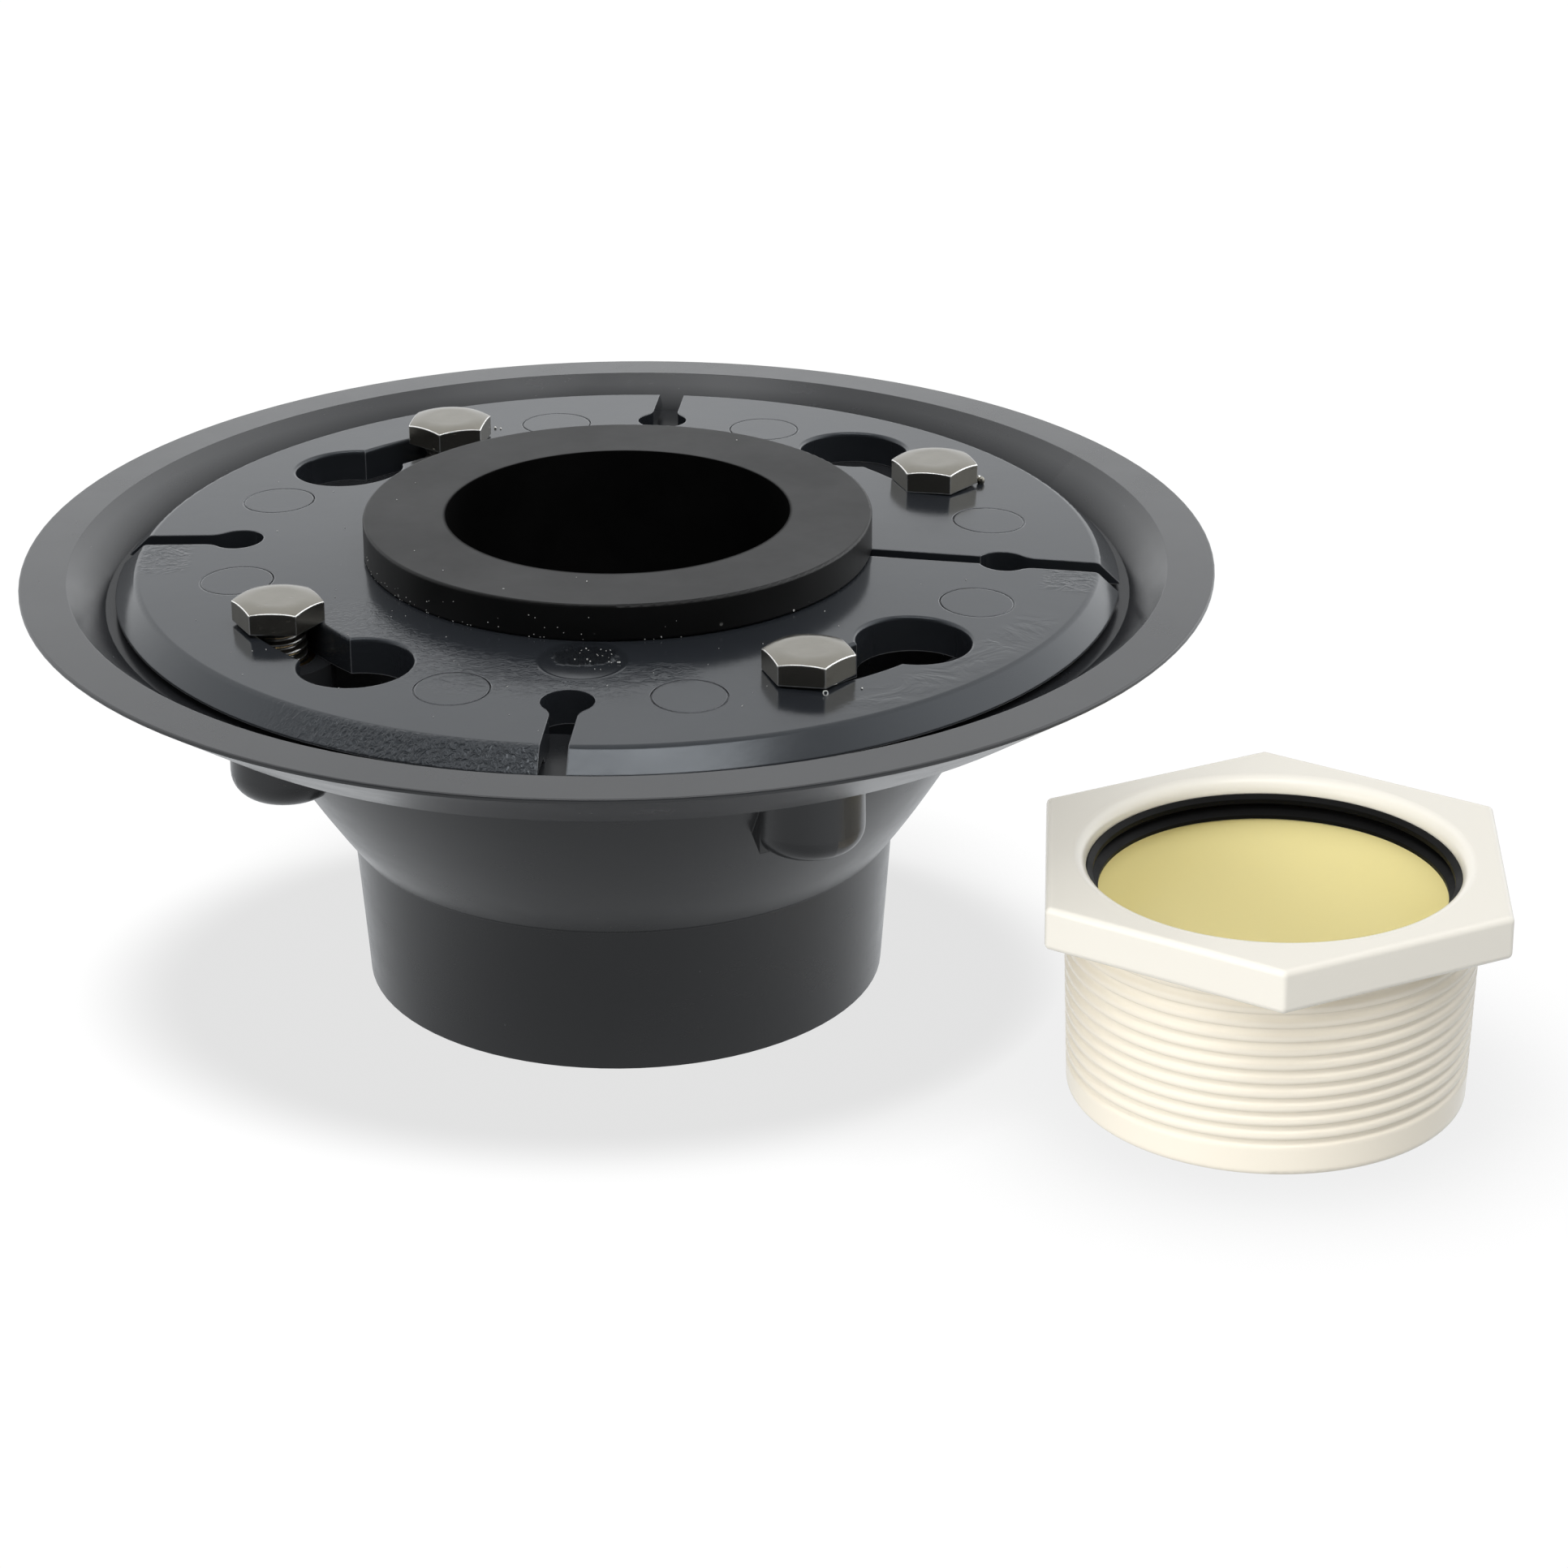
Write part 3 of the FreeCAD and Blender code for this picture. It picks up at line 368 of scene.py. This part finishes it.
def seal_finish():
    """Seal rubber: smooth and black."""
    finish = Finish("seal_rubber", edge=0.1 * MM, IOR=1.4)
    shade = finish.mix(finish.noise(90.0), (0.002, 0.002, 0.002), (0.005, 0.005, 0.005))
    finish.put(finish.shader, "Base Color", shade)
    finish.put(finish.shader, "Specular IOR Level", 0.10)
    finish.put(finish.shader, "Roughness", finish.spread(finish.noise(200.0), 0.3, 0.7, 0.35, 0.5))
    finish.bump(finish.noise(700.0), 0.01 * MM)
    return finish


def steel_finish():
    """Bolt steel: satin, warm grey, with light wear, and thin edges painted bright as wear and
    painted highlight.
    """
    finish = Finish("bolt_steel", edge=0.30 * MM, Metallic=0.93)
    cloud = finish.noise(400.0)
    shade = finish.mix(cloud, (0.186, 0.176, 0.150), (0.230, 0.218, 0.188))
    # Sharp edges painted near white: partly wear, partly painted highlight.
    shade = finish.mix(finish.edge_wear_and_highlight(0.990, 0.95), shade, (0.95, 0.94, 0.92))
    finish.put(finish.shader, "Base Color", shade)
    finish.put(finish.shader, "Roughness", finish.spread(finish.noise(300.0), 0.3, 0.7, 0.15, 0.24))
    scratches = finish.noise(2200.0, 2.0, 0.6, place=finish.stretched(0.08, 1.0, 1.0))
    finish.bump(scratches, 0.004 * MM)
    finish.bump(finish.noise(700.0), 0.004 * MM)
    finish.bump(finish.specks(900.0, 0.25, 0.06), -0.03 * MM)
    return finish


def brass_finish():
    """Turned brass of the inserts."""
    finish = Finish("insert_brass", Metallic=1.0, Roughness=0.3)
    shade = finish.mix(finish.noise(400.0), (0.70, 0.52, 0.25), (0.62, 0.44, 0.20))
    finish.put(finish.shader, "Base Color", shade)
    rings = finish.noise(900.0, 2.0, place=finish.stretched(0.05, 0.05, 1.0))
    finish.bump(rings, 0.01 * MM)
    return finish


def cream_finish():
    """Cream ABS of the adapter: glossy, with a soft thread, and yellower deep in its bore."""
    finish = Finish("adapter_plastic", edge=0.3 * MM, IOR=1.5)
    radius, _, height = finish.polar(adapter_axis())
    hexagon_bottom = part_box("adapter_body")[1][2] - HEXAGON_HEIGHT * MM
    # Painted shade: the hexagon is painted darker and less yellow than the barrel.
    head = finish.spread(height, hexagon_bottom - 0.5 * MM, hexagon_bottom + 0.1 * MM)
    shade = finish.mix(head, (0.872, 0.812, 0.690), (0.785, 0.755, 0.680))
    inside = finish.spread(radius, (ADAPTER_BORE + 0.2) * MM, (ADAPTER_BORE + 0.9) * MM, 1.0, 0.0)
    deep = finish.spread(height, hexagon_bottom + 4.1 * MM, hexagon_bottom + 0.6 * MM)
    shade = finish.mix(finish.maths("MULTIPLY", inside, deep), shade, (0.93, 0.84, 0.43))
    finish.put(finish.shader, "Base Color", shade)
    finish.put(finish.shader, "Roughness", finish.spread(finish.noise(120.0), 0.3, 0.7, 0.24, 0.27))
    # The flat top is duller than the sides and rounded edges.
    level = finish.add("ShaderNodeSeparateXYZ", {0: finish.surface}).outputs["Z"]
    finish.put(finish.shader, "Specular IOR Level", finish.spread(level, 0.970, 0.995, 0.5, 0.15))
    # The thread's edges are softer than the hexagon's.
    thread_top = hexagon_bottom - 1.4 * MM
    softness = finish.spread(height, thread_top, thread_top + 0.6 * MM, 0.9 * MM, 0.3 * MM)
    finish.put(finish.bevel, "Radius", softness)
    finish.bump(finish.noise(900.0), 0.004 * MM)
    return finish


def adapter_axis():
    """Place of the adapter's axis, from its seal."""
    low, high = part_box("adapter_seal")
    return (low[0] + high[0]) / 2, (low[1] + high[1]) / 2


def dress(node, finish):
    """Give a CAD node its material."""
    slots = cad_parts[node].data.materials
    slots.clear()
    slots.append(finish.material)


def dress_nodes():
    """Give every CAD node its material."""
    finishes = {
        "drain_base": base_finish(),
        "clamping_collar": collar_finish(),
        "throat_ring": rubber_finish(),
        "adapter_body": cream_finish(),
        "adapter_seal": seal_finish(),
    }
    steel = steel_finish()
    brass = brass_finish()
    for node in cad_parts:
        if node.startswith("clamp_bolt"):
            finishes[node] = steel
        elif node.startswith("bolt_insert"):
            finishes[node] = brass
        dress(node, finishes[node])
    return finishes


def top_of(node, x, y):
    """Height and normal of a CAD node's top surface at a point."""
    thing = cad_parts[node]
    place = thing.matrix_world.inverted()
    start = place @ Vector((x, y, 1.0))
    down = (place @ Vector((x, y, 0.0)) - start).normalized()
    _, spot, normal, _ = thing.ray_cast(start, down)
    return (thing.matrix_world @ spot).z, (thing.matrix_world.to_3x3() @ normal).normalized()


def piece(name, shape, body, finish):
    """Turn a bmesh in the shared frame into a piece that rides on a body."""
    mesh = bpy.data.meshes.new(name)
    shape.to_mesh(mesh)
    shape.free()
    mesh.polygons.foreach_set("use_smooth", [True] * len(mesh.polygons))
    mesh.materials.append(finish.material)
    thing = bpy.data.objects.new(name, mesh)
    bpy.context.scene.collection.objects.link(thing)
    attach(thing, body)


def round_axis(radius, degrees, height=0.0):
    """A point round the drain's axis. Radius and height are in metres."""
    turn = math.radians(degrees)
    return Vector((radius * math.cos(turn), radius * math.sin(turn), height))


def on_collar(radius, degrees):
    """A point on the collar's top and its normal, from its radius in millimetres and its angle."""
    spot = round_axis(radius * MM, degrees)
    spot.z, normal = top_of("clamping_collar", spot.x, spot.y)
    return spot, normal


def scar_finish():
    """The collar's PVC, with a torn black patch in the middle."""
    finish = pvc("scar_pvc", *COLLAR_SHADES, COLLAR_ROUGH, 0.0)
    finish.put(finish.shader, "Specular Tint", COLLAR_TINT)
    middle = on_collar(*SCAR_PLACE)[0] + Vector(TORN_MIDDLE) * MM
    wide, deep = TORN_REACH
    oval = finish.stretched(1 / (wide * MM), 1 / (deep * MM), 0.0, place=finish.away(middle))
    fray = finish.spread(finish.noise(500.0), 0.3, 0.7, -0.15, 0.15)
    ragged = finish.maths("ADD", finish.length(oval), fray)
    torn = finish.spread(ragged, 0.85, 1.0, 1.0, 0.0)
    finish.put(finish.shader, "Specular IOR Level", finish.spread(torn, 0.0, 1.0, COLLAR_SHINE, 0.02))
    finish.bump(finish.maths("MULTIPLY", finish.noise(1400.0, 3.0), torn), 0.08 * MM)
    return finish


def gate_scar(finish):
    """The broken-off sprue in front of the ring: a torn patch inside a faint raised circle."""
    shape = bmesh.new()
    steps, sides = 33, 132
    centre, _ = on_collar(*SCAR_PLACE)
    rings = []
    for step in range(steps + 1):
        radius = SCAR_REACH * step / steps
        ring = []
        for side in range(sides):
            turn = math.tau * side / sides
            x = radius * math.cos(turn)
            y = radius * math.sin(turn)
            place = centre + Vector((x, y, 0.0)) * MM
            height, _ = top_of("clamping_collar", place.x, place.y)
            ring.append(shape.verts.new((place.x, place.y, height + scar_height(x, y) * MM)))
        rings.append(ring)
    for inner, outer in zip(rings, rings[1:]):
        for side in range(sides):
            after = (side + 1) % sides
            shape.faces.new((inner[side], outer[side], outer[after], inner[after]))
    bmesh.ops.remove_doubles(shape, verts=rings[0], dist=0.001 * MM)
    piece("gate_scar", shape, "collar", finish)


def scar_height(x, y):
    """Height of the gate scar over the collar, in millimetres, round the scar's centre."""
    radius = math.hypot(x, y)
    torn = noise.noise(Vector((x * 1.1, y * 1.1, 4.0)))
    crumbs = noise.noise(Vector((x * 3.4, y * 2.6, 9.0)))
    wide, deep = TORN_REACH
    away = math.hypot((x - TORN_MIDDLE[0]) / wide, (y - TORN_MIDDLE[1]) / deep)
    inside = max(0.0, min(1.0, (1.0 - away) / 0.15))
    # Lumps in the torn patch, a low circle round it in front, and an edge that dips into the collar.
    lumps = max(0.0, torn + 0.15) * 0.35 + max(0.0, crumbs - 0.05) * 0.9
    line = max(0.0, 1.0 - abs(radius - SCAR_CIRCLE) / 0.22) * 0.07 if y < 1.0 else 0.0
    edge = -0.02 if radius > SCAR_REACH - 0.05 else 0.004
    return edge + line + lumps * inside


def add_ring(shape, centre, facing, radius, thickness):
    """Add a small wire ring, square to a direction."""
    tilt = facing.to_track_quat("Z", "Y").to_matrix()
    turns, sides = 20, 8
    grid = []
    for turn in range(turns):
        around = math.tau * turn / turns
        loop = []
        for side in range(sides):
            angle = math.tau * side / sides
            spread = radius + thickness * math.cos(angle)
            height = thickness * math.sin(angle)
            flat = Vector((spread * math.cos(around), spread * math.sin(around), height))
            loop.append(shape.verts.new(centre + tilt @ flat))
        grid.append(loop)
    for turn in range(turns):
        for side in range(sides):
            first, second = grid[turn], grid[(turn + 1) % turns]
            after = (side + 1) % sides
            shape.faces.new((first[side], second[side], second[after], first[after]))


def add_bead(shape, centre, size, stretch=1.0, lean=0.0):
    """Add a small bead, stretched along its own upright axis."""
    tilt = Matrix.Rotation(lean, 4, "Y")
    scale = Matrix.Diagonal((size, size, size * stretch, 1.0))
    matrix = Matrix.Translation(centre) @ tilt @ scale
    bmesh.ops.create_uvsphere(shape, u_segments=16, v_segments=10, radius=1.0, matrix=matrix)


def swarf(finish):
    """Tiny bright chips that the bolts' threads left on the collar."""
    shape = bmesh.new()
    # Two curls of wire that stand on edge.
    facing = Vector((0.2, -0.8, 0.5))
    curl, wire = 0.34 * MM, 0.07 * MM
    for place in CURLS:
        spot, normal = on_collar(*place)
        add_ring(shape, spot + normal * 0.35 * MM, facing, curl, wire)
    # A lump with a splinter on top, and crumbs.
    spot, normal = on_collar(*LUMP)
    add_bead(shape, spot + normal * 0.50 * MM, 0.62 * MM, 1.15)
    add_bead(shape, spot + Vector((-0.45, 0.1, 1.05)) * MM, 0.20 * MM, 2.2, 0.9)
    for radius, degrees, size in CRUMBS:
        spot, normal = on_collar(radius, degrees)
        add_bead(shape, spot + normal * size * 0.6 * MM, size * MM, 1.0)
    piece("swarf", shape, "collar", finish)


def dust_and_glint_finish():
    """Pale grey lint and plastic dust; the same material paints glints in the collar's scar."""
    finish = Finish("pale_grains", Roughness=0.6, IOR=1.4)
    shade = finish.mix(finish.noise(3000.0), (0.75, 0.75, 0.73), (0.90, 0.90, 0.88))
    finish.put(finish.shader, "Base Color", shade)
    return finish


def collar_dust_and_glints(finish):
    """Grains of dust on the collar, and pale beads as painted glints in its scar, seeded so that they
    never move.
    """
    shape = bmesh.new()
    source = random.Random(11)
    # Painted glints: pale beads in the scar, standing in for highlights.
    for _ in range(22):
        place = on_collar(source.uniform(40.0, 44.8), source.uniform(-98.0, -88.0))[0]
        size = source.uniform(0.06, 0.15)
        add_bead(shape, place + Vector((0.0, 0.0, source.uniform(0.05, 0.30))) * MM, size * MM)
    # A few on the rest of the top, but none in the slits, in the keyholes or on the bevel.
    for _ in range(46):
        radius = source.uniform(39.5, 69.0)
        degrees = source.gauss(-100.0, 45.0)
        size = source.uniform(0.04, 0.09)
        centre, normal = on_collar(radius, degrees)
        if normal.z > 0.9 and centre.z > 64.5 * MM:
            add_bead(shape, centre + normal * size * 0.5 * MM, size * MM)
    piece("collar_dust_and_glints", shape, "collar", finish)


def ring_dust(finish):
    """Grains of dust on the rubber ring, most of them low on its side, in front and to the left."""
    shape = bmesh.new()
    source = random.Random(5)
    low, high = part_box("throat_ring")
    outside = (high[0] - low[0]) / 2
    foot = top_of("clamping_collar", 0.0, -outside * 1.02)[0]
    for _ in range(60):
        degrees = source.gauss(-135.0, 26.0)
        height = foot + source.uniform(0.0, 1.0) ** 3 * 3.5 * MM + 0.2 * MM
        size = source.uniform(0.035, 0.08)
        add_bead(shape, round_axis(outside, degrees, height), size * MM)
    # Two larger crumbs at its foot.
    for degrees, size in ((-46.5, 0.17), (-79.0, 0.10)):
        add_bead(shape, round_axis(outside, degrees, foot + 0.5 * MM), size * MM)
    # A few on top.
    for _ in range(7):
        degrees = source.uniform(0.0, 360.0)
        radius = source.uniform(27.0, 36.0) * MM
        add_bead(shape, round_axis(radius, degrees, high[2]), source.uniform(0.06, 0.12) * MM)
    piece("ring_dust", shape, "ring", finish)


def add_details(finishes):
    """Add the small moulded and stray details."""
    gate_scar(scar_finish())
    swarf(finishes["clamp_bolt_front_left"])
    pale_grains = dust_and_glint_finish()
    collar_dust_and_glints(pale_grains)
    ring_dust(pale_grains)


def floor_finish():
    """White paper that lights itself: the camera sees only a pale oval of shade under the drain."""
    paper = Finish("paper")
    low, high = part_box("drain_base")
    reach = (high[0] - low[0]) / 2
    middle = (-0.045 * reach, -0.10 * reach, 0.0)
    wide, deep = 0.81 * reach, 0.65 * reach
    oval = paper.length(paper.stretched(1 / wide, 1 / deep, 0.0, place=paper.away(middle)))
    shade = paper.spread(oval, 0.86, 1.16, 0.765, 1.02, smooth=True)
    # A little more shade at the foot of whatever stands on the paper.
    sky = paper.add("ShaderNodeAmbientOcclusion", {"Distance": 0.045}, samples=12).outputs["AO"]
    foot = paper.spread(sky, 0.55, 0.95, 0.86, 1.02, smooth=True)
    seen = paper.glow(paper.maths("MINIMUM", shade, foot))
    # Reflections see a dim patch in front of the drain, and bright paper beside and behind it.
    split = paper.add("ShaderNodeSeparateXYZ", {0: paper.place}).outputs
    away = paper.length(paper.away((0.0, -80.0 * MM, 0.0)))
    bright = paper.spread(away, 15.0 * MM, 115.0 * MM, 0.50, 0.86, smooth=True)
    bright = paper.maths("MULTIPLY", bright, paper.spread(split["X"], 0.0, 100.0 * MM, 1.0, 1.10))
    mirrored = paper.glow(bright, (0.95, 0.975, 1.0, 1.0))
    rays = paper.add("ShaderNodeLightPath").outputs
    unseen = paper.choose(rays["Is Glossy Ray"], paper.glow(0.52), mirrored)
    paper.show(paper.choose(rays["Is Camera Ray"], unseen, seen))
    return paper


def make_floor():
    """Plain pale floor just under the lowest point."""
    mesh = bpy.data.meshes.new("floor")
    grid = bmesh.new()
    half_width = 6.0
    bmesh.ops.create_grid(grid, x_segments=1, y_segments=1, size=half_width)
    grid.to_mesh(mesh)
    grid.free()
    floor = bpy.data.objects.new("floor", mesh)
    bpy.context.scene.collection.objects.link(floor)
    mesh.materials.append(floor_finish().material)
    floor.location.z = cad_bounds[0][2] - 0.2 * MM


def make_world():
    """White for the camera, even for soft light; reflections see a dim front and bright sides."""
    world = bpy.data.worlds.new("studio")
    bpy.context.scene.world = world
    world.use_nodes = True
    nodes = world.node_tree.nodes
    links = world.node_tree.links

    def span(value, low, high, to_low, to_high):
        node = nodes.new("ShaderNodeMapRange")
        node.interpolation_type = "SMOOTHSTEP"
        links.new(value, node.inputs["Value"])
        for label, number in (
            ("From Min", low),
            ("From Max", high),
            ("To Min", to_low),
            ("To Max", to_high),
        ):
            node.inputs[label].default_value = number
        return node.outputs["Result"]

    def times(first, second):
        node = nodes.new("ShaderNodeMath")
        node.operation = "MULTIPLY"
        links.new(first, node.inputs[0])
        links.new(second, node.inputs[1])
        return node.outputs[0]

    def backdrop(strength, colour=(1.0, 1.0, 1.0, 1.0)):
        node = nodes.new("ShaderNodeBackground")
        node.inputs["Color"].default_value = colour
        node.inputs["Strength"].default_value = strength
        return node

    def choose(share, first, second):
        node = nodes.new("ShaderNodeMixShader")
        links.new(share, node.inputs[0])
        links.new(first, node.inputs[1])
        links.new(second, node.inputs[2])
        return node.outputs[0]

    split = nodes.new("ShaderNodeSeparateXYZ")
    links.new(nodes.new("ShaderNodeTexCoord").outputs["Generated"], split.inputs[0])
    # Dim in front and bright behind, and brighter still far out to the right and left.
    back = span(split.outputs["Y"], -0.80, 0.20, 0.09, 1.24)
    right = span(split.outputs["X"], 0.25, 0.75, 1.0, 1.9)
    left = span(split.outputs["X"], -0.75, -0.35, 1.25, 1.0)
    # A soft lamp high in front: flat faces never mirror it, but rounded edges do.
    above = times(
        span(split.outputs["Z"], 0.88, 0.92, 0.0, 1.0),
        span(split.outputs["Z"], 0.945, 0.975, 7.0, 0.0),
    )
    ahead = span(split.outputs["Y"], -0.20, -0.10, 1.0, 0.0)
    level = nodes.new("ShaderNodeMath")
    level.operation = "ADD"
    links.new(times(back, times(right, left)), level.inputs[0])
    links.new(times(above, ahead), level.inputs[1])
    mirror = backdrop(1.0, (0.97, 0.985, 1.0, 1.0))
    links.new(level.outputs[0], mirror.inputs["Strength"])
    ray = nodes.new("ShaderNodeLightPath").outputs
    light = choose(ray["Is Diffuse Ray"], mirror.outputs[0], backdrop(0.44).outputs[0])
    light = choose(ray["Is Camera Ray"], light, backdrop(1.1).outputs[0])
    links.new(light, nodes["World Output"].inputs[0])


def softbox(name, place, aim, size, power, lit):
    """Add a square area light that faces a point, and lights and is shaded by some objects only."""
    lamp = bpy.data.lights.new(name, "AREA")
    lamp.shape = "SQUARE"
    lamp.size = size
    lamp.energy = power
    box = bpy.data.objects.new(name, lamp)
    bpy.context.scene.collection.objects.link(box)
    box.location = place
    box.rotation_euler = (Vector(aim) - Vector(place)).to_track_quat("-Z", "Y").to_euler()
    box.visible_glossy = False
    box.visible_camera = False
    group = bpy.data.collections.new(name)
    for thing in lit:
        group.objects.link(thing)
    box.light_linking.receiver_collection = group
    box.light_linking.blocker_collection = group


def make_camera():
    """Camera at the product's three-quarter view from above."""
    lens = bpy.data.cameras.new("camera")
    lens.sensor_width = CAMERA_SENSOR
    lens.lens = CAMERA_LENS
    lens.clip_end = 50.0
    camera = bpy.data.objects.new("camera", lens)
    bpy.context.scene.collection.objects.link(camera)
    place = Matrix.Translation(Vector(CAMERA_PLACE) * MM)
    tilt = Matrix.Rotation(math.radians(90.0 - CAMERA_DIP), 4, "X")
    roll = Matrix.Rotation(math.radians(CAMERA_ROLL), 4, "Z")
    camera.matrix_world = place @ tilt @ roll
    bpy.context.scene.camera = camera
    bpy.context.scene.view_settings.view_transform = "Standard"


def studio():
    """Floor, light and camera. The drain and the adapter each have soft lamps of their own."""
    make_floor()
    make_world()
    adapter = [thing for node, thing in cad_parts.items() if node.startswith("adapter")]
    drain = [thing for node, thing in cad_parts.items() if not node.startswith("adapter")]
    x, y = adapter_axis()
    drain_aim, top_aim, side_aim = (0.0, 0.0, 0.05), (x, y, 0.03), (x, y, 0.01)
    softbox("drain_top", (0.40, -0.40, 1.20), drain_aim, size=1.0, power=6.0, lit=drain)
    softbox("adapter_top", (x - 0.10, y - 0.51, 0.96), top_aim, size=0.9, power=6.6, lit=adapter)
    softbox("adapter_key", (x - 0.92, y - 0.72, 0.28), side_aim, size=0.7, power=8.4, lit=adapter)
    make_camera()


finishes = dress_nodes()
add_details(finishes)
studio()
